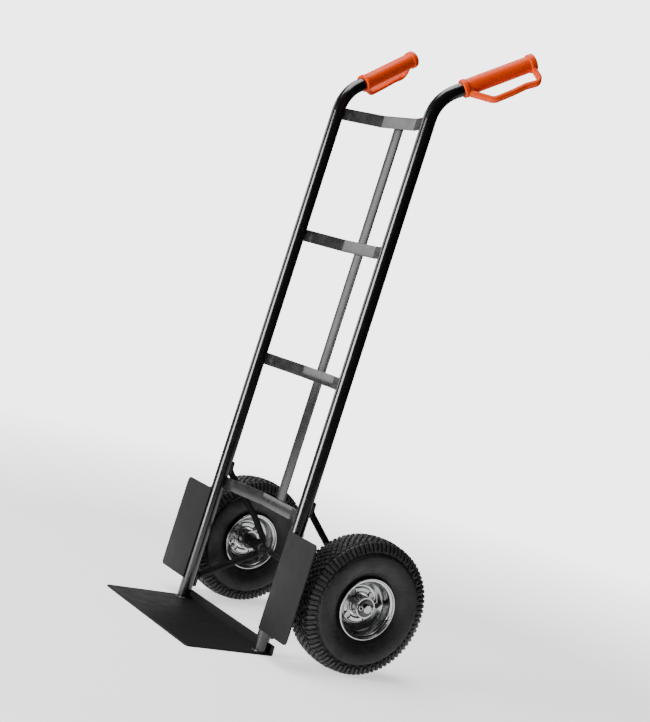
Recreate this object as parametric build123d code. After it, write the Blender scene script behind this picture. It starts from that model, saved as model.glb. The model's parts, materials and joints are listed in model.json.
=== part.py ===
from build123d import *
import os
from math import cos, radians, sin, tan

# Two-wheeled hand truck in millimetres: +Z up, the load side faces -Y, the floor is z = 0.
# The frame is drawn upright in its own axes (x across, y to the rear, z along the side tubes,
# z = 0 on top of the toe plate) and then leaned back on the plate by LEAN.

# ---- driving sizes -----------------------------------------------------------------------
WHEEL_R = 130.0            # tyre crown
TYRE_WIDTH = 85.0
LEAN = 3.6                 # side tubes lean back, degrees

TUBE_R = 13.0              # side tubes
TUBE_WALL = 1.5
TUBE_HALF_SPACING = 168.7
BEND_HEIGHT = 1065.0       # corner of the handle bend, along the tube
BEND_R = 80.0
HANDLE_DROP = 50.5         # handle turned back from the tube line, degrees
HANDLE_SPLAY = 11.3        # handle turned outwards, degrees
HANDLE_LENGTH = 205.7      # bend corner to the end of the grip

PLATE_PAST_TUBE = 20.7     # toe plate past the axis of a side tube
PLATE_REACH = 163.8        # toe plate ahead of the tube feet
PLATE_T = 3.0
PLATE_CORNER_R = 8.0
FLANGE_HEIGHT = 16.6

BAR_LOW = 245.9            # middle of the bottom cross bar, along the tube
BAR_BELOW_BEND = 39.8      # middle of the top cross bar under the corner of the handle bend
BAR_SHARES = {"bottom": 0.0, "lower": 0.338637, "upper": 0.672142, "top": 1.0}  # of the run between them
BAR_HEIGHT = 24.1
BAR_T = 3.0
BAR_FLAT_HALF = 59.0       # raised middle of a bar
BAR_SET_BACK = 42.1        # face of the raised middle behind the tube axes
BAR_WING_BACK = 6.2445     # front face of a wing behind the tube axis, where it lands
STRAP_WIDTH = 30.5
STRAP_T = 3.0

GUARD_T = 3.0
GUARD_LOW = 39.4
GUARD_HIGH = 228.3
GUARD_IN = 3.0             # guard edge inside the tube axis
GUARD_SHORT = 6.4          # guard edge inside the outer face of the tyre
GUARD_CORNER_R = 9.0

STRUT_R = 6.5
STRUT_WALL = 1.5
STRUT_BEND_R = 22.0        # above the axle
STRUT_LOW_BEND_R = 17.0    # below the axle
STRUT_UP = 41.5            # slope of the upper leg, degrees
STRUT_KNEE_SLOPE = 48.4    # slope of its last stretch before the upright one, degrees
STRUT_KNEE_AHEAD = 37.2    # knee in the upper leg ahead of the upright stretch
STRUT_KNEE_R = 60.0
STRUT_DOWN = 30.5          # slope of the lower leg, degrees
STRUT_APEX_BACK = 7.5      # upright stretch of the strut behind the axle
STRUT_APEX_ABOVE = 14.9    # corner of the upper bend above the axle
STRUT_APEX_BELOW = 14.0    # corner of the lower bend below the axle
STRUT_TAB_LENGTH = 27.0
STRUT_TAB_WIDTH = 16.0
STRUT_TAB_T = 4.0
STRUT_TAB_SHIFT = 12.0     # middle of a tab past the end of its leg
STRUT_LEG_GAP = 8.0        # round part of a leg stops this far behind the tube
BOSS_WALL = 3.5
BOSS_LENGTH = 28.0
BOSS_SHIFT = 4.0           # boss stands this much further out than the strut

AXLE_R = 8.0
AXLE_MIDDLE_R = 6.0        # thinner bar between the two thick ends
AXLE_STUB_IN = 55.0        # thick ends run this far inboard of the struts
PIN_R = 1.6
PIN_FROM_END = 4.6         # split pin to the end of the axle
PIN_LOOP_R = 3.6
WASHER_R = 14.0
WASHER_T = 2.0

BEARING_R = 17.5           # 16 x 35 x 11 ball bearings
BEARING_W = 11.0
INNER_RACE_T = 3.1
OUTER_RACE_T = 3.0
BALL_TRACK_DEPTH = 1.0
BALL_COUNT = 9
BALL_GAP = 0.06
CAGE_T = 1.4
CAGE_WEB = 0.7             # cage past the balls on each side
SHIELD_T = 0.8
RACE_PROUD = 0.5           # inner race stands out past the hub
HUB_HALF = 27.6
HUB_WALL = 2.2

RIM_T = 2.0
RIM_LIP_R = 59.4
RIM_LIP_X = 34.0
BEAD_R = 51.0
BEAD_IN_X = 15.0
DISH_R = 36.0
DISH_X = 1.0
BOLT_CIRCLE_R = 29.0
BOLT_COUNT = 4
BOLT_R = 3.0
BOLT_HEAD_R = 5.6
BOLT_HEAD_H = 4.0
BOLT_REACH = 8.0           # bolt past the inner rim half

SHOULDER_IN = 9.5          # edge of the tread inside the widest part of the tyre
TREAD_DROP = 4.0
TYRE_WALL = 6.5
BEAD_INSET = 2.5           # tyre bead inside the rim lip
GROOVE_W = 4.0
GROOVE_DEPTH = 3.0
GROOVE_X = 11.0
TUBE_SKIN = 2.0            # inner tube rubber
VALVE_R = 3.4
VALVE_LENGTH = 21.0
VALVE_CAP_R = 4.6
VALVE_CAP_LENGTH = 9.0
VALVE_TURN = -80.0         # turned from straight up about the axle, degrees

GRIP_START = 54.7          # collar face, from the bend corner
GRIP_WALL = 2.8
GRIP_COLLAR_RISE = 2.2
GRIP_COLLAR_LENGTH = 9.0
GRIP_FLANGE_LENGTH = 10.0
GRIP_CAP = 3.7             # closed end past the flange
GUARD_BAR_T = 9.0
GUARD_BAR_W = 15.0
GUARD_BAR_OUT = 47.0       # middle of the knuckle bar from the grip axis
GUARD_BAR_RAMP = 35.0      # length of the sloping start of the knuckle bar
GUARD_BAR_DIP = 4.0        # knuckle bar dips towards the grip past its middle
GUARD_BAR_TURN = 52.0      # knuckle bar turned from level towards straight down, degrees

# ---- clearances --------------------------------------------------------------------------
SLIP = 0.15                # bolt, pin and valve holes
RUN = 0.4                  # between pieces that turn past each other
WHEEL_CLEAR = 10.2         # side tube to tyre
WHEEL_BEHIND_FOOT = 11.0   # front of the tyre behind the axis of a tube's foot
PIN_CLEAR = 0.8            # washer to split pin

# ---- frame -------------------------------------------------------------------------------
TRACK_HALF = TUBE_HALF_SPACING + TUBE_R + WHEEL_CLEAR + TYRE_WIDTH / 2
AXLE_REACH = WHEEL_R + WHEEL_BEHIND_FOOT
BACK_OF_WHEEL = AXLE_REACH + WHEEL_R
FOOT_Y = (PLATE_REACH - BACK_OF_WHEEL) / 2
STAND = Pos(0, FOOT_Y, PLATE_T) * Rot(X=-LEAN)
AXLE_Y = FOOT_Y + AXLE_REACH
AXLE_Z = WHEEL_R
AXLE_BACK = AXLE_REACH * cos(radians(LEAN)) - (AXLE_Z - PLATE_T) * sin(radians(LEAN))
AXLE_UP = AXLE_REACH * sin(radians(LEAN)) + (AXLE_Z - PLATE_T) * cos(radians(LEAN))
SIDES = {"left": -1, "right": 1}

os.makedirs("parts", exist_ok=True)
made = {}


def keep(name, *shapes):
    """File one node, as one solid or as a group of separate solids."""
    solids = [solid for shape in shapes for solid in shape.solids()]
    made[name] = solids[0] if len(solids) == 1 else Compound(children=solids)


def ring(outer, inner, x0, x1):
    """Tube about the X axis between two stations."""
    length = x1 - x0
    disc = Circle(outer) - Circle(inner) if inner else Circle(outer)
    return Pos(x0, 0, 0) * Rot(Y=90) * extrude(disc, length)


def along(start, direction, radius, length):
    """Round bar from a point in a direction."""
    return extrude(Plane(origin=start, z_dir=direction) * Circle(radius), length)


def swept(path, radius):
    """Round bar along a path."""
    start = Plane(origin=path @ 0, z_dir=path % 0)
    return sweep(start * Circle(radius), path=path)


def strip(points, thickness, bend_r, height):
    """Flat strip bent along a line of (x, y) points, standing in Z; the line is its front face."""
    line = FilletPolyline(*points, radius=bend_r)
    sheet = offset(line, amount=thickness, side=Side.LEFT, closed=True)
    return extrude(make_face(sheet.edges()), height / 2, both=True)


# ---- side tubes --------------------------------------------------------------------------
def handle_direction(side):
    across, back = radians(HANDLE_SPLAY), radians(HANDLE_DROP)
    return Vector(side * sin(across), cos(across) * sin(back), cos(across) * cos(back))


def handle_corner(side):
    return Vector(side * TUBE_HALF_SPACING, 0, BEND_HEIGHT)


def tube_path(side):
    corner, direction = handle_corner(side), handle_direction(side)
    foot = Vector(side * TUBE_HALF_SPACING, 0, -2 * TUBE_R)
    end = corner + direction * (HANDLE_LENGTH - GRIP_CAP)
    return FilletPolyline(foot, corner, end, radius=BEND_R)


below_plate_top = Pos(0, 0, PLATE_T) * Box(
    4 * TUBE_HALF_SPACING, 4 * TUBE_HALF_SPACING, 6 * TUBE_R, align=(Align.CENTER, Align.CENTER, Align.MAX))
tube_bars = {}
for name, side in SIDES.items():
    path = tube_path(side)
    tube_bars[side] = swept(path, TUBE_R)
    hollow = tube_bars[side] - swept(path, TUBE_R - TUBE_WALL)
    keep(f"side_tube_{name}", STAND * hollow - below_plate_top)

# ---- cross bars and centre strap ---------------------------------------------------------
bar_run = BEND_HEIGHT - BAR_BELOW_BEND - BAR_LOW
bar_levels = {name: BAR_LOW + share * bar_run for name, share in BAR_SHARES.items()}
bar_line = [
    (-TUBE_HALF_SPACING, BAR_WING_BACK),
    (-BAR_FLAT_HALF, BAR_SET_BACK),
    (BAR_FLAT_HALF, BAR_SET_BACK),
    (TUBE_HALF_SPACING, BAR_WING_BACK)]
for name, level in bar_levels.items():
    bar = Pos(0, 0, level) * strip(bar_line, BAR_T, 2 * BAR_T, BAR_HEIGHT)
    for tube in tube_bars.values():
        bar = bar - tube
    keep(f"cross_bar_{name}", STAND * bar)

strap_low = bar_levels["bottom"] - BAR_HEIGHT / 2
strap_high = bar_levels["top"] + BAR_HEIGHT / 2
strap_y = BAR_SET_BACK + BAR_T + STRAP_T / 2
strap = Pos(0, strap_y, (strap_low + strap_high) / 2) * Box(STRAP_WIDTH, STRAP_T, strap_high - strap_low)
keep("centre_strap", STAND * strap)

# ---- toe plate ---------------------------------------------------------------------------
plate_half_width = TUBE_HALF_SPACING + PLATE_PAST_TUBE
flange_y = TUBE_R / cos(radians(LEAN)) + 2.0
plate_line = FilletPolyline(
    (-PLATE_REACH, PLATE_T), (flange_y, PLATE_T), (flange_y, PLATE_T + FLANGE_HEIGHT), radius=1.0)
plate_sheet = offset(plate_line, amount=PLATE_T, side=Side.RIGHT, closed=True)
plate = Rot(Z=90) * Rot(X=90) * extrude(make_face(plate_sheet.edges()), plate_half_width, both=True)
for side in SIDES.values():
    corner = Pos(side * plate_half_width, -PLATE_REACH, 0) * Box(
        2 * PLATE_CORNER_R, 2 * PLATE_CORNER_R, 4 * PLATE_T)
    rounding = Pos(side * (plate_half_width - PLATE_CORNER_R), PLATE_CORNER_R - PLATE_REACH, 0) * Cylinder(
        PLATE_CORNER_R, 4 * PLATE_T)
    plate = plate - (corner - rounding)
keep("toe_plate", Pos(0, FOOT_Y, 0) * plate)

# ---- wheel guards ------------------------------------------------------------------------
guard_out = TUBE_R + WHEEL_CLEAR + TYRE_WIDTH - GUARD_SHORT
for name, side in SIDES.items():
    width = guard_out + GUARD_IN
    middle = side * (TUBE_HALF_SPACING + (guard_out - GUARD_IN) / 2)
    outline = Rectangle(width, GUARD_HIGH - GUARD_LOW)
    outer_corners = outline.vertices().sort_by(Axis.X)[-2:] if side > 0 else outline.vertices().sort_by(Axis.X)[:2]
    outline = fillet(outer_corners, GUARD_CORNER_R)
    guard = Pos(middle, -TUBE_R - GUARD_T / 2, (GUARD_LOW + GUARD_HIGH) / 2) * Rot(X=90) * extrude(
        outline, GUARD_T / 2, both=True)
    keep(f"wheel_guard_{name}", STAND * guard)

# ---- axle struts -------------------------------------------------------------------------
leg_end = TUBE_R + STRUT_LEG_GAP
boss_r = AXLE_R + BOSS_WALL
apex_back = AXLE_BACK + STRUT_APEX_BACK
apex_high = AXLE_UP + STRUT_APEX_ABOVE
apex_low = AXLE_UP - STRUT_APEX_BELOW
knee_back = apex_back - STRUT_KNEE_AHEAD
knee_high = apex_high + STRUT_KNEE_AHEAD * tan(radians(STRUT_KNEE_SLOPE))
leg_high = knee_high + (knee_back - leg_end) * tan(radians(STRUT_UP))
leg_low = apex_low - (apex_back - leg_end) * tan(radians(STRUT_DOWN))


def strut_tab(x, leg_z, slope, way):
    """Flattened end of a strut leg, lying on the back of the side tube."""
    tab_y = TUBE_R + STRUT_TAB_T / 2 - 0.3
    middle_z = leg_z + way * STRUT_TAB_SHIFT
    tab = Pos(x, tab_y, middle_z) * Box(STRUT_TAB_WIDTH, STRUT_TAB_T, STRUT_TAB_LENGTH)
    tab = fillet(tab.edges().filter_by(Axis.Y), STRUT_TAB_T)
    round_end = Plane(
        origin=(x, leg_end, leg_z), z_dir=(0, -cos(radians(slope)), way * sin(radians(slope))))
    flat_end = Plane(origin=(x, tab_y, leg_z + way * STRUT_TAB_SHIFT / 2), z_dir=(0, -0.5, way * 0.9))
    return tab + loft([round_end * Circle(STRUT_R),
                       flat_end * RectangleRounded(STRUT_TAB_WIDTH, STRUT_TAB_T, STRUT_TAB_T / 3)])


for name, side in SIDES.items():
    x = side * TUBE_HALF_SPACING
    path = FilletPolyline(
        (x, leg_end, leg_high), (x, knee_back, knee_high), (x, apex_back, apex_high),
        (x, apex_back, apex_low), (x, leg_end, leg_low), radius=(STRUT_KNEE_R, STRUT_BEND_R, STRUT_LOW_BEND_R))
    boss_at = x + side * BOSS_SHIFT
    boss_cut = Pos(0, AXLE_BACK, AXLE_UP) * ring(boss_r, 0, boss_at - BOSS_LENGTH, boss_at + BOSS_LENGTH)
    strut = swept(path, STRUT_R) - swept(path, STRUT_R - STRUT_WALL) - boss_cut
    strut = strut + strut_tab(x, leg_high, STRUT_UP, 1) + strut_tab(x, leg_low, STRUT_DOWN, -1)
    keep(f"axle_strut_{name}", STAND * (strut - tube_bars[side]))
    boss = ring(boss_r, AXLE_R, boss_at - BOSS_LENGTH / 2, boss_at + BOSS_LENGTH / 2)
    keep(f"axle_boss_{name}", Pos(0, AXLE_Y, AXLE_Z) * boss)

# ---- axle and what is on it --------------------------------------------------------------
at_axle = Pos(0, AXLE_Y, AXLE_Z)
hub_out = TRACK_HALF + HUB_HALF + RACE_PROUD
hub_in = TRACK_HALF - HUB_HALF - RACE_PROUD
pin_x = hub_out + WASHER_T + PIN_CLEAR + PIN_R
axle_half = pin_x + PIN_FROM_END
stub_end = TUBE_HALF_SPACING - AXLE_STUB_IN
axle = ring(AXLE_R, 0, stub_end, axle_half) + ring(AXLE_R, 0, -axle_half, -stub_end)
axle = chamfer(axle.edges().filter_by(GeomType.CIRCLE), 1.0)
axle = axle + ring(AXLE_MIDDLE_R, 0, -stub_end, stub_end)
pins = []
for side in SIDES.values():
    axle = axle - along((side * pin_x, -2 * AXLE_R, 0), (0, 1, 0), PIN_R + SLIP, 4 * AXLE_R)
    loop_y = -AXLE_R - PIN_LOOP_R - PIN_R
    shaft = along((side * pin_x, loop_y + PIN_LOOP_R, 0), (0, 1, 0), PIN_R, 2 * AXLE_R + 3 * PIN_R)
    loop = Pos(side * pin_x, loop_y, 0) * Rot(Y=90) * Torus(PIN_LOOP_R, PIN_R * 0.8)
    legs = [along((side * pin_x, AXLE_R + 1.3 * PIN_R, 0), (0, 0.5, way), PIN_R * 0.8, AXLE_R)
            for way in (1, -1)]
    pins.append(shaft + loop + legs[0] + legs[1])
keep("axle", at_axle * axle)
keep("split_pins", *[at_axle * pin for pin in pins])

strut_face = TUBE_HALF_SPACING + BOSS_SHIFT + BOSS_LENGTH / 2
keep("axle_washers", *[
    at_axle * ring(WASHER_R, AXLE_R, min(side * hub_out, side * (hub_out + WASHER_T)),
                   max(side * hub_out, side * (hub_out + WASHER_T))) for side in SIDES.values()])
keep("axle_spacers", *[
    at_axle * ring(AXLE_R + INNER_RACE_T - RUN / 2, AXLE_R, min(side * strut_face, side * hub_in),
                   max(side * strut_face, side * hub_in)) for side in SIDES.values()])

# ---- grips -------------------------------------------------------------------------------
grip_r = TUBE_R + GRIP_WALL
collar_r = grip_r + GRIP_COLLAR_RISE
for name, side in SIDES.items():
    corner, direction = handle_corner(side), handle_direction(side)
    level = direction.cross(Vector(0, 0, 1)).normalized() * side
    down = direction.cross(level).normalized()
    down = down if down.Z < 0 else down * -1
    turn = radians(GUARD_BAR_TURN)
    reach = level * cos(turn) + down * sin(turn)
    cap_end = HANDLE_LENGTH
    flange_at = cap_end - GRIP_CAP - GRIP_FLANGE_LENGTH

    body = along(corner + direction * GRIP_START, direction, grip_r, HANDLE_LENGTH - GRIP_START - GRIP_CAP / 2)
    collar = along(corner + direction * GRIP_START, direction, collar_r, GRIP_COLLAR_LENGTH)
    collar = fillet(collar.edges().filter_by(GeomType.CIRCLE), 2.0)
    flange = along(corner + direction * flange_at, direction, collar_r, cap_end - flange_at)
    flange = fillet(flange.edges().filter_by(GeomType.CIRCLE), 3.5)

    def spot(s, q):
        return corner + direction * s + reach * q

    bar_start = GRIP_START + GRIP_COLLAR_LENGTH / 2 + 2.0
    bar_end = flange_at + GRIP_FLANGE_LENGTH / 2
    knuckle_path = FilletPolyline(
        spot(bar_start, grip_r - 4.0),
        spot(bar_start + GUARD_BAR_RAMP, GUARD_BAR_OUT),
        spot((bar_start + GUARD_BAR_RAMP + bar_end) / 2 - GUARD_BAR_RAMP / 4, GUARD_BAR_OUT - GUARD_BAR_DIP / 3),
        spot((bar_start + GUARD_BAR_RAMP + bar_end) / 2 + GUARD_BAR_RAMP / 2, GUARD_BAR_OUT - GUARD_BAR_DIP),
        spot(bar_end - 1.0, GUARD_BAR_OUT),
        spot(bar_end, grip_r - 4.0), radius=(16.0, 40.0, 40.0, 12.0))
    section = Plane(origin=knuckle_path @ 0, x_dir=direction.cross(reach), z_dir=knuckle_path % 0)
    knuckle = sweep(section * RectangleRounded(GUARD_BAR_W, GUARD_BAR_T, 3.5), path=knuckle_path)
    grip = body + collar + flange + knuckle - tube_bars[side]
    keep(f"grip_{name}", STAND * grip)


# ---- wheels ------------------------------------------------------------------------------
def tyre_outline(inset):
    """Half section of the tyre's outer skin, moved inwards by inset; x >= 0."""
    crown = WHEEL_R - inset
    tread = TYRE_WIDTH / 2 - SHOULDER_IN - inset * 0.7
    shoulder = WHEEL_R - TREAD_DROP - inset
    bulge = TYRE_WIDTH / 2 - inset
    bulge_r = (WHEEL_R + RIM_LIP_R) / 2
    bead_x = RIM_LIP_X - RIM_T - BEAD_INSET - inset
    bead_r = BEAD_R + RIM_T
    top = ThreePointArc((0, crown), (tread / 2, crown - TREAD_DROP / 4), (tread, shoulder))
    sidewall = ThreePointArc((tread, shoulder), (bulge, bulge_r), (bead_x, RIM_LIP_R + RIM_T))
    bead = Line((bead_x, RIM_LIP_R + RIM_T), (bead_x, bead_r))
    return top, sidewall, bead


def mirrored(edges):
    return [mirror(edge, about=Plane.YZ) for edge in edges]


def tyre_section(inset):
    half = tyre_outline(inset)
    foot = half[-1] @ 1
    floor = Line((foot.X, foot.Y), (-foot.X, foot.Y))
    return make_face([*half, *mirrored(half), floor])


def rim_half(side):
    """Pressed rim half: rolled lip, bead seat, conical wall and flat disc around the hub."""
    hub_r = BEARING_R + HUB_WALL
    line = FilletPolyline(
        (RIM_LIP_X + 2.0, RIM_LIP_R - 2.0), (RIM_LIP_X, RIM_LIP_R - 1.0), (RIM_LIP_X - 3.0, BEAD_R + 1.0),
        (BEAD_IN_X, BEAD_R - 2.0), (DISH_X, DISH_R + 3.0), (DISH_X, hub_r), radius=(0.6, 3.0, 4.0, 3.0))
    sheet = offset(line, amount=RIM_T / 2, side=Side.BOTH)
    face = make_face(sheet.edges())
    half = revolve(face, axis=Axis.X, revolution_arc=360)
    half = half - ring(hub_r, 0, -TYRE_WIDTH, TYRE_WIDTH) - ring(RIM_LIP_R * 2, 0, -TYRE_WIDTH, 0)
    return half if side > 0 else mirror(half, about=Plane.YZ)


def bolt_spots():
    return [Rot(X=45 + 360 * i / BOLT_COUNT) for i in range(BOLT_COUNT)]


race_out_r = BEARING_R - OUTER_RACE_T
race_in_r = AXLE_R + INNER_RACE_T
ball_circle_r = (race_out_r + race_in_r) / 2
ball_r = (race_out_r - race_in_r) / 2 + BALL_TRACK_DEPTH
cage_w = 2 * (ball_r + BALL_GAP + CAGE_WEB)
track_out_r = ball_circle_r + ball_r + BALL_GAP
track_in_r = ball_circle_r - ball_r - BALL_GAP
hub_r = BEARING_R + HUB_WALL
valve_x = (BEAD_IN_X + DISH_X) / 2
valve_r = (BEAD_R - 2.0 + DISH_R + 3.0) / 2
valve_slope = (BEAD_R - 2.0 - DISH_R - 3.0, BEAD_IN_X - DISH_X)
valve_dir = Vector(valve_slope[0], 0, -valve_slope[1]).normalized()

for name, side in SIDES.items():
    at_wheel = Pos(side * TRACK_HALF, AXLE_Y, AXLE_Z)
    flip = Rot(Z=0) if side > 0 else Rot(Z=180)
    place = at_wheel * flip

    groove_cuts = [ring(WHEEL_R + 5, WHEEL_R - GROOVE_DEPTH, x - GROOVE_W / 2, x + GROOVE_W / 2)
                   for x in (-GROOVE_X, GROOVE_X)]
    outer_skin = revolve(tyre_section(0.0), axis=Axis.X, revolution_arc=360)
    cavity = revolve(tyre_section(TYRE_WALL), axis=Axis.X, revolution_arc=360)
    rims = {1: rim_half(1), -1: rim_half(-1)}
    tyre = outer_skin - cavity - groove_cuts[0] - groove_cuts[1] - rims[1] - rims[-1]
    tyre = tyre - ring(BEAD_R + RIM_T, 0, -BEAD_IN_X, BEAD_IN_X)
    keep(f"tyre_{name}", place * max(tyre.solids(), key=lambda solid: solid.volume))

    tube_skin = revolve(tyre_section(TYRE_WALL), axis=Axis.X, revolution_arc=360)
    tube_air = revolve(tyre_section(TYRE_WALL + TUBE_SKIN), axis=Axis.X, revolution_arc=360)
    tube_air = tube_air - ring(BEAD_R + RIM_T + TUBE_SKIN, 0, -TYRE_WIDTH, TYRE_WIDTH)
    keep(f"inner_tube_{name}", place * (tube_skin - tube_air - rims[1] - rims[-1]))

    valve_foot = Vector(valve_x, 0, valve_r) - valve_dir * 6.0
    valve_spot = Rot(X=VALVE_TURN)
    stem = valve_spot * along(valve_foot, valve_dir, VALVE_R, VALVE_LENGTH)
    hole = valve_spot * along(valve_foot, valve_dir, VALVE_R + SLIP, VALVE_LENGTH)
    keep(f"valve_stem_{name}", place * stem)
    cap_foot = valve_foot + valve_dir * (VALVE_LENGTH - VALVE_CAP_LENGTH * 0.6)
    cap = valve_spot * along(cap_foot, valve_dir, VALVE_CAP_R, VALVE_CAP_LENGTH) - stem
    keep(f"valve_cap_{name}", place * cap)

    bolt_holes = [spot * Pos(0, 0, BOLT_CIRCLE_R) * ring(BOLT_R + SLIP, 0, -TYRE_WIDTH / 2, TYRE_WIDTH / 2)
                  for spot in bolt_spots()]
    for way, where in ((1, "outer"), (-1, "inner")):
        rim = rims[way] - hole
        for bolt_hole in bolt_holes:
            rim = rim - bolt_hole
        keep(f"rim_{where}_{name}", place * rim)

    disc_face = DISH_X + RIM_T / 2
    bolts, nuts = [], []
    for spot in bolt_spots():
        at_bolt = spot * Pos(0, 0, BOLT_CIRCLE_R)
        shank = ring(BOLT_R, 0, -disc_face - BOLT_REACH, disc_face)
        head = Pos(disc_face, 0, 0) * Rot(Y=90) * extrude(RegularPolygon(BOLT_HEAD_R, 6), BOLT_HEAD_H)
        nut = Pos(-disc_face, 0, 0) * Rot(Y=-90) * extrude(RegularPolygon(BOLT_HEAD_R, 6), BOLT_HEAD_H)
        bolts.append(place * at_bolt * (shank + head))
        nuts.append(place * at_bolt * (nut - shank))
    keep(f"rim_bolts_{name}", *bolts)
    keep(f"rim_nuts_{name}", *nuts)

    hub = ring(hub_r, BEARING_R - 2.0, -HUB_HALF, HUB_HALF)
    seat = BEARING_W - RACE_PROUD
    for way in (1, -1):
        hub = hub - ring(BEARING_R, 0, min(way * HUB_HALF, way * (HUB_HALF - seat)),
                         max(way * HUB_HALF, way * (HUB_HALF - seat)))
    keep(f"hub_{name}", place * hub)

    races, shields, inner_races, balls, cages = [], [], [], [], []
    for way in (1, -1):
        middle = way * (HUB_HALF + RACE_PROUD - BEARING_W / 2)
        half_w = BEARING_W / 2 - RACE_PROUD
        track_w = ball_r
        outer_track = ring(track_out_r, 0, middle - track_w, middle + track_w)
        inner_track = ring(race_in_r + 1.0, track_in_r, middle - track_w, middle + track_w)
        races.append(ring(BEARING_R, race_out_r, middle - half_w, middle + half_w) - outer_track)
        inner_races.append(
            ring(race_in_r, AXLE_R, middle - BEARING_W / 2, middle + BEARING_W / 2) - inner_track)
        cage = ring(
            ball_circle_r + CAGE_T / 2, ball_circle_r - CAGE_T / 2, middle - cage_w / 2, middle + cage_w / 2)
        for i in range(BALL_COUNT):
            spin = Rot(X=360 * i / BALL_COUNT) * Pos(middle, 0, ball_circle_r)
            balls.append(place * spin * Sphere(ball_r))
            cage = cage - spin * Sphere(ball_r + BALL_GAP)
        cages.append(place * cage)
        for face in (1, -1):
            x0 = middle + face * (half_w - SHIELD_T)
            x1 = middle + face * half_w
            shields.append(place * ring(race_out_r, race_in_r + RUN, min(x0, x1), max(x0, x1)))
    keep(f"bearing_outer_races_{name}", *[place * race for race in races])
    keep(f"bearing_inner_races_{name}", *[place * race for race in inner_races])
    keep(f"bearing_shields_{name}", *shields)
    keep(f"bearing_balls_{name}", *balls)
    keep(f"bearing_cages_{name}", *cages)
    inside = HUB_HALF + RACE_PROUD - BEARING_W
    keep(f"bearing_spacer_{name}", place * ring(race_in_r - RUN, AXLE_R, -inside, inside))

for name, shape in made.items():
    export_step(shape, f"parts/{name}.step")
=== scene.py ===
import json
import math

import bmesh
import bpy
from mathutils import Matrix, Vector


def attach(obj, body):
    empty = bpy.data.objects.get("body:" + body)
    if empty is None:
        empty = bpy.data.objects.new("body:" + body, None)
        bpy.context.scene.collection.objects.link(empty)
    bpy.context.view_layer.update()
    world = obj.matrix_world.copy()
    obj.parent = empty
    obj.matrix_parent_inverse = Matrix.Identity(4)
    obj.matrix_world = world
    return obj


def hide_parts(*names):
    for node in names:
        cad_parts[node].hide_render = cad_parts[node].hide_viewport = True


# Looks of the hand truck, in metres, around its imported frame. The load side faces -Y, the
# wheels turn about X, and the floor is z = 0.

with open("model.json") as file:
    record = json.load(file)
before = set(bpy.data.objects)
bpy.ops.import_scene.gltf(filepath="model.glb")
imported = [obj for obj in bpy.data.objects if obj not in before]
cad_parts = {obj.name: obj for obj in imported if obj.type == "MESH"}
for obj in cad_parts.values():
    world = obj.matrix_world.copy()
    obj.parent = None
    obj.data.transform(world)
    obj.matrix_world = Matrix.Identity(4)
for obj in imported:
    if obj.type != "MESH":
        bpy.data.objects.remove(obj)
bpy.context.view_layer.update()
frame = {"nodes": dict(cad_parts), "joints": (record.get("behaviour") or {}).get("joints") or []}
MM = 0.001
SIDES = {"left": -1, "right": 1}

# ---- sizes that repeat the frame's own ---------------------------------------------------
LEAN = math.radians(3.6)
PLATE_T = 3.0 * MM
PAINT_END = 150.0 * MM     # the axle is painted between here and the same place on the other side

joints = {joint["name"]: joint for joint in frame["joints"]}


def wheel_middle(side_name):
    return Vector(joints[f"{side_name}_wheel_spin"]["pos_m"])


# ---- node helpers ------------------------------------------------------------------------
def wire(tree, source, out, target, into):
    tree.links.new(source.outputs[out], target.inputs[into])


class Finish:
    """A Principled material with object coordinates ready to feed its textures."""

    def __init__(self, name, metallic=0.0, coat=0.0, coat_rough=0.1):
        self.material = bpy.data.materials.new(name)
        self.material.use_nodes = True
        self.tree = self.material.node_tree
        self.shader = self.tree.nodes["Principled BSDF"]
        self.shader.inputs["Metallic"].default_value = metallic
        self.shader.inputs["Coat Weight"].default_value = coat
        self.shader.inputs["Coat Roughness"].default_value = coat_rough
        self.shader.inputs["IOR"].default_value = 1.5
        self.spot = self.tree.nodes.new("ShaderNodeTexCoord")
        self.height = None

    def noise(self, scale, detail=2.0, rough=0.5):
        node = self.tree.nodes.new("ShaderNodeTexNoise")
        node.inputs["Scale"].default_value = scale
        node.inputs["Detail"].default_value = detail
        node.inputs["Roughness"].default_value = rough
        wire(self.tree, self.spot, "Object", node, "Vector")
        return node.outputs["Fac"]

    def ramp(self, value, low, high, low_at=0.3, high_at=0.7):
        node = self.tree.nodes.new("ShaderNodeMapRange")
        node.inputs["From Min"].default_value = low_at
        node.inputs["From Max"].default_value = high_at
        node.inputs["To Min"].default_value = low
        node.inputs["To Max"].default_value = high
        self.tree.links.new(value, node.inputs["Value"])
        return node.outputs["Result"]

    def mix(self, value, first, second):
        node = self.tree.nodes.new("ShaderNodeMix")
        node.data_type = "RGBA"
        self.tree.links.new(value, node.inputs["Factor"])
        for socket, colour in ((node.inputs[6], first), (node.inputs[7], second)):
            if isinstance(colour, tuple):
                socket.default_value = (*colour, 1.0)
            else:
                self.tree.links.new(colour, socket)
        return node.outputs[2]

    def colour(self, value, first, second):
        self.tree.links.new(self.mix(value, first, second), self.shader.inputs["Base Color"])

    def rough(self, value, low, high):
        self.tree.links.new(self.ramp(value, low, high), self.shader.inputs["Roughness"])

    def bump(self, value, distance, strength=1.0):
        node = self.tree.nodes.new("ShaderNodeBump")
        node.inputs["Strength"].default_value = strength
        node.inputs["Distance"].default_value = distance
        self.tree.links.new(value, node.inputs["Height"])
        if self.height is not None:
            self.tree.links.new(self.height, node.inputs["Normal"])
        self.height = node.outputs["Normal"]
        self.tree.links.new(self.height, self.shader.inputs["Normal"])


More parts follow.
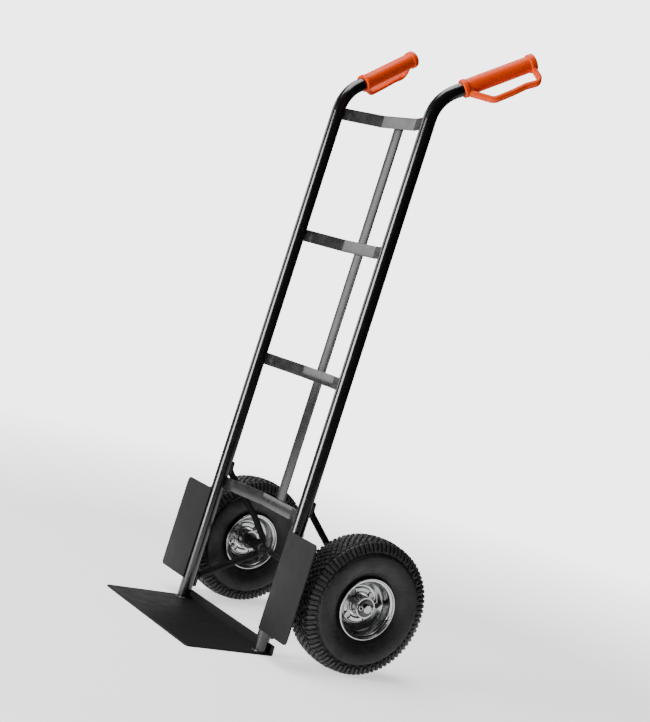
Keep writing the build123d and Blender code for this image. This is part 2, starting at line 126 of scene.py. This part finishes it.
# ---- materials ---------------------------------------------------------------------------
def gloss_powder():
    look = Finish("powder_gloss", coat=0.25, coat_rough=0.06)
    look.colour(look.noise(14.0, 3.0), (0.0022, 0.0022, 0.0024), (0.0045, 0.0045, 0.0048))
    look.rough(look.noise(60.0, 4.0), 0.17, 0.25)
    look.bump(look.noise(520.0, 2.0), 0.00005, 0.3)
    look.bump(look.noise(45.0, 1.0), 0.00015, 0.1)
    return look.material


def satin_powder(name, dark, light):
    look = Finish(name)
    look.colour(look.noise(11.0, 4.0), (dark, dark, dark * 1.03), (light, light, light * 1.03))
    look.rough(look.noise(35.0, 5.0), 0.5, 0.62)
    look.shader.inputs["Specular IOR Level"].default_value = 0.12
    look.bump(look.noise(900.0, 2.0), 0.00008, 0.5)
    look.bump(look.noise(30.0, 2.0), 0.0002, 0.1)
    return look.material


# The bars carry the tubes' black powder, made about three times lighter here: painted light on their
# flat faces.
def bar_powder_lit():
    look = Finish("powder_bars_lit", coat=0.3, coat_rough=0.16)
    look.colour(look.noise(12.0, 3.0), (0.007, 0.007, 0.0073), (0.012, 0.012, 0.0124))
    look.rough(look.noise(50.0, 4.0), 0.24, 0.34)
    look.bump(look.noise(700.0, 2.0), 0.00005, 0.3)
    look.bump(look.noise(40.0, 1.0), 0.00015, 0.08)
    return look.material


def bright_zinc():
    look = Finish("bright_zinc", metallic=1.0)
    look.colour(look.noise(28.0, 3.0), (0.42, 0.424, 0.43), (0.50, 0.504, 0.51))
    look.rough(look.noise(60.0, 4.0), 0.17, 0.23)
    look.bump(look.noise(1500.0, 2.0), 0.00003, 0.3)
    return look.material


def dull_zinc():
    look = Finish("dull_zinc", metallic=1.0)
    look.colour(look.noise(120.0, 4.0), (0.38, 0.385, 0.39), (0.55, 0.55, 0.545))
    look.rough(look.noise(200.0, 4.0), 0.3, 0.48)
    look.bump(look.noise(1100.0, 3.0), 0.00005, 0.4)
    return look.material


def painted_axle():
    """Bare steel where the wheels and bosses sit, painted black between them."""
    look = Finish("painted_axle", coat=0.2, coat_rough=0.15)
    parts = look.tree.nodes.new("ShaderNodeSeparateXYZ")
    wire(look.tree, look.spot, "Object", parts, "Vector")
    away = look.tree.nodes.new("ShaderNodeMath")
    away.operation = "ABSOLUTE"
    wire(look.tree, parts, "X", away, 0)
    bare = look.ramp(away.outputs["Value"], 0.0, 1.0, PAINT_END, PAINT_END + 2.0 * MM)
    paint = look.mix(look.noise(40.0, 3.0), (0.004, 0.004, 0.0042), (0.008, 0.008, 0.0083))
    steel_tone = look.mix(look.noise(120.0, 4.0), (0.40, 0.40, 0.405), (0.56, 0.56, 0.555))
    look.colour(bare, paint, steel_tone)
    look.rough(look.noise(90.0, 4.0), 0.24, 0.36)
    look.tree.links.new(bare, look.shader.inputs["Metallic"])
    look.bump(look.noise(900.0, 3.0), 0.00005, 0.4)
    return look.material


# Near-black metal for the axle washers and bearing outer races deep in the hub: painted shade of the
# hub's recess, not a finish of their own.
def shaded_recess_metal():
    look = Finish("shaded_recess_metal", metallic=1.0)
    look.colour(look.noise(150.0, 4.0), (0.06, 0.06, 0.062), (0.12, 0.12, 0.12))
    look.rough(look.noise(220.0, 3.0), 0.28, 0.42)
    look.bump(look.noise(1400.0, 2.0), 0.00003, 0.35)
    return look.material


def ground_steel():
    look = Finish("ground_steel", metallic=1.0)
    look.colour(look.noise(90.0, 3.0), (0.5, 0.5, 0.5), (0.63, 0.63, 0.625))
    look.rough(look.noise(400.0, 3.0), 0.14, 0.24)
    look.bump(look.noise(2500.0, 2.0), 0.00002, 0.3)
    return look.material


def tyre_rubber():
    look = Finish("tyre_rubber")
    raised = look.tree.nodes.new("ShaderNodeAttribute")
    raised.attribute_name = "groove_shade_mask"
    dust = look.noise(140.0, 6.0, 0.7)
    top = look.mix(dust, (0.012, 0.012, 0.0118), (0.042, 0.041, 0.040))
    # The grooves, hollows and plain sidewall get this near-black colour: painted shade, darker than the
    # raised tread and vent dots.
    low = look.mix(look.noise(75.0, 9.0, 0.8), (0.0010, 0.0010, 0.0011), (0.0150, 0.0147, 0.0143))
    look.colour(look.ramp(raised.outputs["Fac"], 0.0, 1.0, 0.35, 0.95), low, top)
    look.rough(look.noise(45.0, 5.0), 0.34, 0.58)
    look.shader.inputs["Specular IOR Level"].default_value = 0.3
    look.bump(look.noise(520.0, 4.0, 0.6), 0.0003, 0.7)
    look.bump(look.noise(150.0, 5.0, 0.65), 0.0009, 0.45)
    return look.material


def plain_rubber():
    look = Finish("plain_rubber")
    look.colour(look.noise(60.0, 4.0), (0.010, 0.010, 0.010), (0.022, 0.022, 0.021))
    look.rough(look.noise(110.0, 3.0), 0.5, 0.68)
    look.bump(look.noise(1300.0, 2.0), 0.00005, 0.5)
    return look.material


def black_plastic():
    look = Finish("black_plastic")
    look.colour(look.noise(80.0, 3.0), (0.008, 0.008, 0.008), (0.016, 0.016, 0.017))
    look.rough(look.noise(150.0, 3.0), 0.34, 0.46)
    look.bump(look.noise(1800.0, 2.0), 0.00004, 0.5)
    return look.material


def orange_plastic():
    look = Finish("orange_plastic")
    look.colour(look.noise(22.0, 3.0), (0.74, 0.052, 0.0003), (0.82, 0.064, 0.0006))
    look.rough(look.noise(70.0, 4.0), 0.28, 0.36)
    look.shader.inputs["Specular IOR Level"].default_value = 0.12
    look.bump(look.noise(1500.0, 2.0), 0.00004, 0.4)
    return look.material


def weld_metal():
    look = Finish("weld_painted", coat=0.3, coat_rough=0.1)
    look.colour(look.noise(300.0, 3.0), (0.005, 0.005, 0.0055), (0.012, 0.012, 0.012))
    look.rough(look.noise(250.0, 4.0), 0.24, 0.38)
    look.bump(look.noise(420.0, 3.0), 0.0003, 0.5)
    return look.material


powder, chrome, bar_coat_lit = gloss_powder(), bright_zinc(), bar_powder_lit()
strut_coat = satin_powder("powder_struts", 0.004, 0.007)
plate_coat = satin_powder("powder_plate", 0.005, 0.0075)
# The guards share the plate's paint but get a lighter copy of it: painted light on their faces towards
# the front lamp.
guard_coat_lit = satin_powder("powder_guards_lit", 0.010, 0.0125)
zinc, steel, rubber, axle_paint = dull_zinc(), ground_steel(), tyre_rubber(), painted_axle()
soft_rubber, plastic, orange, weld = plain_rubber(), black_plastic(), orange_plastic(), weld_metal()
recess_shade_metal = shaded_recess_metal()


def dress(node, material):
    """Give a CAD node its material."""
    thing = frame["nodes"][node]
    for slot in thing.material_slots:
        slot.material = material


LOOKS = {
    powder: ["side_tube", "cross_bar", "centre_strap"],
    strut_coat: ["axle_strut", "axle_boss"],
    plate_coat: ["toe_plate"],
    guard_coat_lit: ["wheel_guard"],
    chrome: ["rim_outer", "rim_inner", "hub"],
    axle_paint: ["axle"],
    zinc: ["split_pins", "bearing_spacer", "rim_bolts", "rim_nuts"],
    # painted shade of the hub's recess on the washers and outer races
    recess_shade_metal: ["axle_washers", "bearing_outer_races"],
    steel: ["bearing_inner_races", "bearing_balls", "bearing_cages"],
    rubber: ["tyre"],
    soft_rubber: ["inner_tube", "valve_stem", "bearing_shields"],
    plastic: ["axle_spacers", "valve_cap"],
    orange: ["grip"],
}
for material, stems in LOOKS.items():
    for node in frame["nodes"]:
        if any(node == stem or node.startswith(stem + "_") and stem != "axle" for stem in stems):
            dress(node, material)


# ---- mesh helpers ------------------------------------------------------------------------
def piece(name, vertices, faces, material, smooth_under=None):
    """New mesh object; edges flatter than smooth_under degrees are shaded smooth."""
    mesh = bpy.data.meshes.new(name)
    mesh.from_pydata(vertices, [], faces)
    mesh.materials.append(material)
    mesh.update()
    thing = bpy.data.objects.new(name, mesh)
    bpy.context.scene.collection.objects.link(thing)
    if smooth_under is not None:
        mesh.shade_smooth()
        mesh.set_sharp_from_angle(angle=math.radians(smooth_under))
    return thing


def grid_faces(rows, columns, wrap):
    """Quads over a grid of rows by columns; the columns close on themselves."""
    faces = []
    last = rows if wrap else rows - 1
    for i in range(last):
        for j in range(columns):
            a, b = i * columns + j, i * columns + (j + 1) % columns
            c, d = ((i + 1) % rows) * columns + (j + 1) % columns, ((i + 1) % rows) * columns + j
            faces.append((a, b, c, d))
    return faces


def clamp(value, low=0.0, high=1.0):
    return max(low, min(high, value))


def smooth_step(low, high, value):
    t = clamp((value - low) / (high - low))
    return t * t * (3 - 2 * t)


def saw(value):
    """Distance to the nearest whole number, 0 to 0.5."""
    return abs(value - round(value))


# ---- tyres -------------------------------------------------------------------------------
TREAD_HALF = 33.0
CROWN_R = 130.0
SHOULDER_R = 126.0
BULGE_X, BULGE_R = 42.5, 94.7
BEAD_X, BEAD_TOP_R, BEAD_R = 29.5, 61.4, 53.5
TREAD_DEPTH = 3.6
RIB_COUNT = 80
RIB_LOW_R = 108.5
CORD_R = 106.0             # moulded ring under the shoulder ribs
DIAMOND_COUNT = 60
DIAMOND_WIDTH = 14.5
TYRE_STEPS = 960


def arc_through(a, b, c, steps):
    """Points of the arc from a to c through b."""
    (ax, ay), (bx, by), (cx, cy) = a, b, c
    d = 2 * (ax * (by - cy) + bx * (cy - ay) + cx * (ay - by))
    ux = ((ax**2 + ay**2) * (by - cy) + (bx**2 + by**2) * (cy - ay) + (cx**2 + cy**2) * (ay - by)) / d
    uy = ((ax**2 + ay**2) * (cx - bx) + (bx**2 + by**2) * (ax - cx) + (cx**2 + cy**2) * (bx - ax)) / d
    radius = math.hypot(ax - ux, ay - uy)
    start, end = math.atan2(ay - uy, ax - ux), math.atan2(cy - uy, cx - ux)
    middle = math.atan2(by - uy, bx - ux)
    turn = math.tau if end < start else -math.tau
    if not (min(start, end) <= middle <= max(start, end)):
        end += turn
    return [(ux + radius * math.cos(start + (end - start) * i / steps),
             uy + radius * math.sin(start + (end - start) * i / steps)) for i in range(steps + 1)]


def chance(i, j):
    """Repeatable scatter in 0..1 for a pair of whole numbers."""
    return (math.sin(i * 127.1 + j * 311.7) * 43758.5453) % 1.0


def tyre_half_profile():
    """Outer skin from the middle of the crown to the bead as (x, r) in millimetres."""
    crown = arc_through((0, CROWN_R), (TREAD_HALF / 2, CROWN_R - 1.0), (TREAD_HALF, SHOULDER_R), 36)
    wall = arc_through((TREAD_HALF, SHOULDER_R), (BULGE_X, BULGE_R), (BEAD_X, BEAD_TOP_R), 60)
    bead = [(BEAD_X - 0.5, BEAD_TOP_R - 4.0), (BEAD_X - 1.0, BEAD_R)]
    return crown + wall[1:] + bead


def rib_rise(around, r):
    """Shoulder ribs, 0 to 1: every other one is longer and carries a sipe."""
    spot = around * RIB_COUNT
    ordinal = round(spot)
    rise = 1 - smooth_step(0.24, 0.33, saw(spot))
    long_rib = ordinal % 2 == 0
    low = RIB_LOW_R if long_rib else RIB_LOW_R + 3.0
    sipe = 1 - smooth_step(0.03, 0.07, saw(spot)) if long_rib else 0.0
    return rise * smooth_step(low - 0.6, low + 1.2, r) * (1 - 0.45 * sipe)


def crown_rise(around, x):
    """Diamond knobs of the crown, 0 to 1, cut by zigzag grooves and fine sipes."""
    zigzag = 2.6 * (saw(around * DIAMOND_COUNT) - 0.25)
    a = around * DIAMOND_COUNT + (x + zigzag) / DIAMOND_WIDTH
    b = around * DIAMOND_COUNT - (x - zigzag) / DIAMOND_WIDTH
    knob = min(smooth_step(0.085, 0.15, saw(a)), smooth_step(0.085, 0.15, saw(b)))
    kind = chance(math.floor(a) % DIAMOND_COUNT, math.floor(b) % DIAMOND_COUNT)
    centre_a, centre_b = a - math.floor(a) - 0.5, b - math.floor(b) - 0.5
    across = centre_a - centre_b if kind > 0.5 else centre_a + centre_b
    sipe = 1 - smooth_step(0.05, 0.11, abs(across))
    return knob * (0.82 + 0.18 * kind) * (1 - 0.5 * sipe)


def tread_rise(x, r, angle):
    """How far the rubber stands over the carcass, 0 to 1."""
    around = angle / math.tau
    if r < SHOULDER_R - 0.01:
        return max(rib_rise(around, r), 0.30 * smooth_step(117.0, 119.0, r))
    edge = smooth_step(28.4, 29.2, abs(x))
    channel = smooth_step(0.7, 1.4, abs(abs(x) - 27.6))
    return channel * (edge * rib_rise(around, r) + (1 - edge) * crown_rise(around, x))


def wall_detail(r, angle):
    """Moulded lines, vent dots and fine radial scores of the sidewall, in millimetres."""
    cord = 0.9 * (1 - smooth_step(0.5, 1.2, abs(r - CORD_R)))
    line = 0.35 * (1 - smooth_step(0.3, 0.8, abs(r - 99.5)))
    rim_line = (0.45 * (1 - smooth_step(0.3, 0.9, abs(r - 69.0)))
                + 0.35 * (1 - smooth_step(0.3, 0.9, abs(r - 66.0))))
    dots = 0.0
    for ring_r, count, shift in ((95.0, 16, 0.0), (84.0, 22, 0.3), (75.0, 16, 0.5)):
        away = saw(angle / math.tau * count + shift) / count * math.tau * r
        dots = max(dots, 0.8 * (1 - smooth_step(0.5, 1.4, math.hypot(away, r - ring_r))))
    return cord + line + rim_line + dots, dots


def tyre_mesh(name, middle):
    half = tyre_half_profile()
    profile = list(reversed(half)) + [(-x, r) for x, r in half[1:]]
    vertices, groove_shade_mask = [], []
    count = len(profile)
    for i, (x, r) in enumerate(profile):
        before, after = profile[max(0, i - 1)], profile[min(count - 1, i + 1)]
        tx, tr = after[0] - before[0], after[1] - before[1]
        size = math.hypot(tx, tr)
        nx, nr = -tr / size, tx / size
        if nr * (r - 90.0) + nx * x < 0:
            nx, nr = -nx, -nr
        depth = TREAD_DEPTH * smooth_step(103.0, 107.0, r)
        for j in range(TYRE_STEPS):
            angle = math.tau * j / TYRE_STEPS
            rise = tread_rise(x, r, angle) if depth > 0.0 else 0.0
            lift = depth * (rise - 1.0)
            vent_dot_rise = 0.0
            if r < RIB_LOW_R:
                detail, vent_dot_rise = wall_detail(r, angle)
                lift += detail - 0.9 * smooth_step(62.0, 66.0, r)
            px, pr = x + nx * lift, r + nr * lift
            vertices.append((middle.x + px * MM, middle.y + pr * MM * math.sin(angle),
                             middle.z + pr * MM * math.cos(angle)))
            # Raised tread and vent dots take the lighter rubber; everything else takes the painted
            # shade.
            groove_shade_mask.append(max(rise, vent_dot_rise))
    thing = piece(name, vertices, grid_faces(count, TYRE_STEPS, False), rubber, 42)
    layer = thing.data.attributes.new("groove_shade_mask", "FLOAT", "POINT")
    layer.data.foreach_set("value", groove_shade_mask)
    return thing


for side_name in SIDES:
    tyre = tyre_mesh(f"tyre_tread_{side_name}", wheel_middle(side_name))
    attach(tyre, f"{side_name}_wheel")
    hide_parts(f"tyre_{side_name}")

# ---- rims ---------------------------------------------------------------------------------
RIM_STEPS = 192
RING_IN_R, RING_OUT_R = 24.5, 33.5
RING_RISE = 3.2
RIM_SKIN = 1.6
RIM_BOLTS = 4
RIM_BOLT_TURN = 45.0


def rim_profile():
    """Visible side of one rim half, from behind the rolled lip to the hub, as (x, r)."""
    lip = [(34.2 + 2.0 * math.cos(t), 57.4 + 2.0 * math.sin(t))
           for t in (math.radians(d) for d in range(150, -91, -20))]
    wall = arc_through((33.4, 55.0), (32.6, 52.6), (30.6, 50.9), 5)
    seat = [(24.0, 49.8), (18.0, 49.2)]
    turn = arc_through((14.0, 48.6), (11.4, 47.4), (9.6, 45.4), 4)
    cone = [(7.6, 42.8), (5.4, 40.2)]
    foot = arc_through((4.0, 38.6), (2.9, 37.2), (2.4, 35.6), 4)
    disc = [(2.3, 34.6 - 0.6 * i) for i in range(24)]
    return lip + wall + seat + turn + cone + foot + disc


def rim_rise(r, angle):
    """Pressed ring around the hub, open where the bolts sit, in millimetres."""
    ring = (smooth_step(RING_IN_R - 1.2, RING_IN_R + 1.2, r)
            * (1 - smooth_step(RING_OUT_R - 1.4, RING_OUT_R + 1.0, r)))
    away = saw((math.degrees(angle) - RIM_BOLT_TURN) / 360 * RIM_BOLTS) * 360 / RIM_BOLTS
    return RING_RISE * ring * smooth_step(11.5, 16.5, away)


def rim_mesh(name, middle, outward):
    """One rim half as a closed shell; outward is the side of the wheel's middle that it is on."""
    front = rim_profile()
    vertices = []
    rows = [(x, r, True) for x, r in front] + [(x, r, False) for x, r in reversed(front)]
    for i, (x, r, shown) in enumerate(rows):
        k = i if shown else len(rows) - 1 - i
        before, after = front[max(0, k - 1)], front[min(len(front) - 1, k + 1)]
        tx, tr = after[0] - before[0], after[1] - before[1]
        size = math.hypot(tx, tr) or 1.0
        nx, nr = -tr / size, tx / size
        for j in range(RIM_STEPS):
            angle = math.tau * j / RIM_STEPS
            lift = rim_rise(r, angle) if r < 37.0 else 0.0
            px = x + lift - (0.0 if shown else nx * RIM_SKIN)
            pr = r - (0.0 if shown else nr * RIM_SKIN)
            vertices.append((middle.x + outward * px * MM, middle.y + pr * MM * math.sin(angle),
                             middle.z + pr * MM * math.cos(angle)))
    thing = piece(name, vertices, grid_faces(len(rows), RIM_STEPS, True), chrome, 50)
    flip_outward(thing)
    return thing


def flip_outward(thing):
    mesh = bmesh.new()
    mesh.from_mesh(thing.data)
    bmesh.ops.recalc_face_normals(mesh, faces=mesh.faces)
    mesh.to_mesh(thing.data)
    mesh.free()


for side_name, side in SIDES.items():
    for where, outward in (("outer", side), ("inner", -side)):
        rim = rim_mesh(f"rim_pressed_{where}_{side_name}", wheel_middle(side_name), outward)
        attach(rim, f"{side_name}_wheel")
        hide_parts(f"rim_{where}_{side_name}")


# ---- plates, bars and strap with rolled edges ---------------------------------------------
def softened(node, material, width, name):
    """Copy of a flat CAD piece with its sharp edges rounded over, standing in for the node."""
    mesh = bmesh.new()
    mesh.from_mesh(frame["nodes"][node].data)
    bmesh.ops.remove_doubles(mesh, verts=mesh.verts, dist=1e-5)
    bmesh.ops.dissolve_limit(mesh, angle_limit=math.radians(1.0), verts=mesh.verts, edges=mesh.edges)
    sharp = [edge for edge in mesh.edges
             if len(edge.link_faces) == 2 and edge.calc_face_angle(0.0) > math.radians(50)]
    bmesh.ops.bevel(mesh, geom=sharp, offset=width, segments=2, profile=0.5, affect="EDGES",
                    clamp_overlap=True)
    data = bpy.data.meshes.new(name)
    mesh.to_mesh(data)
    mesh.free()
    data.materials.append(material)
    data.shade_smooth()
    data.set_sharp_from_angle(angle=math.radians(38))
    thing = bpy.data.objects.new(name, data)
    bpy.context.scene.collection.objects.link(thing)
    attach(thing, "frame")
    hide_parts(node)
    return thing


for node, material, slot_name in (
        [(f"wheel_guard_{n}", guard_coat_lit, "powder_coat_plate") for n in SIDES]
        + [("toe_plate", plate_coat, "powder_coat_plate"), ("centre_strap", bar_coat_lit, "powder_coat")]
        + [(f"cross_bar_{n}", bar_coat_lit, "powder_coat") for n in ("bottom", "lower", "upper", "top")]):
    softened(node, material, 0.7 * MM, f"rolled_{node}")


# ---- weld beads ---------------------------------------------------------------------------
AXLE_REACH = 141.0 * MM
foot_y = wheel_middle("left").y - AXLE_REACH
HALF_SPACING = 168.7
BAR_LEVELS = (245.9, 509.8, 769.7, 1025.2)
BAR_HALF = 11.0
WELD_TOP = 1036.0          # the welds of the top bar end here, just inside the tube's bend
TAB_LEVELS = ((28.0, 51.0), (266.0, 288.0))     # the struts' flattened ends on the tube
GUARD_WELDS = ((58.0, 84.0), (122.0, 148.0), (186.0, 212.0))


def on_frame(x, y, z):
    """Point given in the side tubes' own axes, in millimetres, as a place in the scene."""
    y, z = y * MM, z * MM
    return Vector((x * MM, foot_y + y * math.cos(LEAN) + z * math.sin(LEAN),
                   PLATE_T - y * math.sin(LEAN) + z * math.cos(LEAN)))


def bead_mesh(points, radius, closed=False, pitch=2.2 * MM):
    """Rippled weld bead along a line of points: returns its vertices and faces."""
    count = len(points)
    vertices, sides = [], 10
    walked = 0.0
    for i, point in enumerate(points):
        ahead = points[(i + 1) % count] if closed or i < count - 1 else point
        behind = points[i - 1] if closed or i > 0 else point
        along = (ahead - behind).normalized()
        if i:
            walked += (point - points[i - 1]).length
        across = along.cross(Vector((0.31, 0.17, 0.93))).normalized()
        other = along.cross(across)
        ripple = 1.0 - 0.16 * abs(math.sin(math.pi * walked / pitch))
        end = 1.0 if closed else math.sqrt(clamp(min(i, count - 1 - i) / 3.0, 0.06, 1.0))
        for j in range(sides):
            turn = math.tau * j / sides
            spoke = across * math.cos(turn) + other * math.sin(turn)
            vertices.append(point + spoke * radius * ripple * end)
    faces = grid_faces(count, sides, closed)
    if not closed:
        faces.append(tuple(range(sides)))
        faces.append(tuple(reversed(range((count - 1) * sides, count * sides))))
    return vertices, faces


def ring_line(centre, axis_a, axis_b, radius, steps=72, start=0.0, sweep=math.tau):
    closed = abs(sweep - math.tau) < 1e-6
    last = steps if closed else steps + 1
    return [centre + (axis_a * math.cos(start + sweep * i / steps)
                      + axis_b * math.sin(start + sweep * i / steps)) * radius for i in range(last)]


def straight_line(start, end, step=0.7 * MM):
    count = max(6, int((end - start).length / step))
    return [start.lerp(end, i / count) for i in range(count + 1)]


def welds():
    lines = []
    for side in (-1, 1):
        x = side * HALF_SPACING
        foot = Vector((x * MM, foot_y, PLATE_T))
        lines.append((ring_line(foot, Vector((1, 0, 0)), Vector((0, 1, 0)), 13.6 * MM), 2.0 * MM, True))
        for level in BAR_LEVELS:
            top = min(level + BAR_HALF, WELD_TOP)
            lines.append((straight_line(on_frame(x - side * 10.2, 8.6, level - BAR_HALF),
                                        on_frame(x - side * 10.2, 8.6, top)), 1.5 * MM, False))
            lines.append((straight_line(on_frame(x - side * 5.6, 13.0, level - BAR_HALF),
                                        on_frame(x - side * 5.6, 13.0, top)), 1.7 * MM, False))
        for low, high in TAB_LEVELS:
            for off in (-7.6, 7.6):
                lines.append((straight_line(on_frame(x + off, 12.2, low), on_frame(x + off, 12.2, high)),
                              1.7 * MM, False))
        for low, high in GUARD_WELDS:
            edge = x + side * 5.5
            lines.append((straight_line(on_frame(edge, -12.6, low), on_frame(edge, -12.6, high)),
                          1.7 * MM, False))
        hub = wheel_middle("left")
        for off in (-6.2, 6.2):
            centre = Vector(((x + off) * MM, hub.y, hub.z))
            lines.append((ring_line(centre, Vector((0, 1, 0)), Vector((0, 0, 1)), 11.8 * MM, 60,
                                    math.radians(-100), math.radians(200)), 1.5 * MM, False))
    for level in BAR_LEVELS:
        for off in (-15.4, 15.4):
            lines.append((straight_line(on_frame(off, 45.9, level - 8.0),
                                        on_frame(off, 45.9, level + 8.0)), 1.2 * MM, False))
    vertices, faces = [], []
    for points, radius, closed in lines:
        more, quads = bead_mesh(points, radius, closed)
        base = len(vertices)
        vertices += more
        faces += [tuple(base + k for k in quad) for quad in quads]
    thing = piece("weld_beads", vertices, faces, weld, 60)
    flip_outward(thing)
    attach(thing, "frame")


welds()

# ---- floor, light and camera -------------------------------------------------------------
FLOOR_CLEAR, FLOOR_GONE = 0.9, 2.6   # the floor fades into the backdrop between these radii


def floor():
    bpy.ops.mesh.primitive_circle_add(vertices=96, radius=FLOOR_GONE, fill_type="NGON",
                                      location=(0, 0, 0))
    thing = bpy.context.object
    thing.name = "studio_floor"
    look = Finish("studio_floor")
    look.colour(look.noise(3.0, 2.0), (0.88, 0.88, 0.88), (0.91, 0.91, 0.91))
    look.rough(look.noise(8.0, 2.0), 0.75, 0.85)
    look.shader.inputs["Emission Color"].default_value = (1.0, 1.0, 1.0, 1.0)
    look.shader.inputs["Emission Strength"].default_value = 0.9
    length = look.tree.nodes.new("ShaderNodeVectorMath")
    length.operation = "LENGTH"
    wire(look.tree, look.spot, "Object", length, 0)
    fade = look.ramp(length.outputs["Value"], 1.0, 0.0, FLOOR_CLEAR, FLOOR_GONE)
    look.tree.links.new(fade, look.shader.inputs["Alpha"])
    thing.data.materials.append(look.material)


floor()


def area_light(name, place, look_at, size, glow, size_y=None):
    """Soft box whose face has the given radiance."""
    data = bpy.data.lights.new(name, "AREA")
    data.shape = "RECTANGLE"
    data.size = size
    data.size_y = size_y or size
    data.energy = glow * math.pi * data.size * data.size_y
    lamp = bpy.data.objects.new(name, data)
    lamp.location = place
    lamp.rotation_euler = (Vector(look_at) - Vector(place)).to_track_quat("-Z", "Y").to_euler()
    lamp.visible_camera = False
    bpy.context.scene.collection.objects.link(lamp)


def glow_towards(tree, spot, direction, wide, narrow, strength):
    """Light in the room around one direction: full inside narrow, gone outside wide, in degrees."""
    facing = tree.nodes.new("ShaderNodeVectorMath")
    facing.operation = "DOT_PRODUCT"
    facing.inputs[1].default_value = Vector(direction).normalized()
    tree.links.new(spot.outputs["Generated"], facing.inputs[0])
    lobe = tree.nodes.new("ShaderNodeMapRange")
    lobe.interpolation_type = "SMOOTHSTEP"
    lobe.inputs["From Min"].default_value = math.cos(math.radians(wide))
    lobe.inputs["From Max"].default_value = math.cos(math.radians(narrow))
    lobe.inputs["To Min"].default_value = 0.0
    lobe.inputs["To Max"].default_value = strength
    tree.links.new(facing.outputs["Value"], lobe.inputs["Value"])
    return lobe.outputs["Result"]


def studio_world(seen, dim, lobes):
    """Bright backdrop behind the object, over a dim room with a few bright sides that lights it."""
    world = bpy.data.worlds.new("studio")
    world.use_nodes = True
    tree = world.node_tree
    room = tree.nodes["Background"]
    room.inputs["Color"].default_value = (0.98, 0.99, 1.0, 1.0)
    spot = tree.nodes.new("ShaderNodeTexCoord")
    total = None
    for direction, wide, narrow, strength in lobes:
        part = glow_towards(tree, spot, direction, wide, narrow, strength)
        both = tree.nodes.new("ShaderNodeMath")
        both.operation = "ADD"
        tree.links.new(part, both.inputs[0])
        if total is None:
            both.inputs[1].default_value = dim
        else:
            tree.links.new(total, both.inputs[1])
        total = both.outputs["Value"]
    tree.links.new(total, room.inputs["Strength"])
    backdrop = tree.nodes.new("ShaderNodeBackground")
    backdrop.inputs["Strength"].default_value = seen
    rays = tree.nodes.new("ShaderNodeLightPath")
    pick = tree.nodes.new("ShaderNodeMixShader")
    tree.links.new(rays.outputs["Is Camera Ray"], pick.inputs["Fac"])
    tree.links.new(room.outputs["Background"], pick.inputs[1])
    tree.links.new(backdrop.outputs["Background"], pick.inputs[2])
    tree.links.new(pick.outputs["Shader"], tree.nodes["World Output"].inputs["Surface"])
    bpy.context.scene.world = world


studio_world(5.0, 0.02, [
    ((-0.85, 0.52, 0.0), 44, 24, 0.7),
    ((-0.45, -0.2, 0.87), 55, 20, 0.2)])
area_light("overhead", (-0.5, -0.4, 3.6), (0, 0, 0), 2.6, 6.5)
area_light("front_strip", (0.2, -3.4, 0.75), (0, 0, 0.7), 1.5, 24.0, 1.7)
area_light("side_box", (-2.7, -1.65, 1.3), (0, 0, 0.9), 1.5, 3.2, 1.9)

CAMERA_AT = Vector((2.722, -1.6261, 0.6966))
CAMERA_TO = Vector((-0.0083, 0.0327, 0.5413))
CAMERA_ROLL = math.radians(14.68)
LENS_MM = 81.85


def camera():
    data = bpy.data.cameras.new("camera")
    data.lens = LENS_MM
    data.sensor_width = 36.0
    thing = bpy.data.objects.new("camera", data)
    aim = (CAMERA_TO - CAMERA_AT).to_track_quat("-Z", "Y").to_matrix().to_4x4()
    thing.matrix_world = Matrix.Translation(CAMERA_AT) @ aim @ Matrix.Rotation(CAMERA_ROLL, 4, "Z")
    bpy.context.scene.collection.objects.link(thing)
    bpy.context.scene.camera = thing


camera()
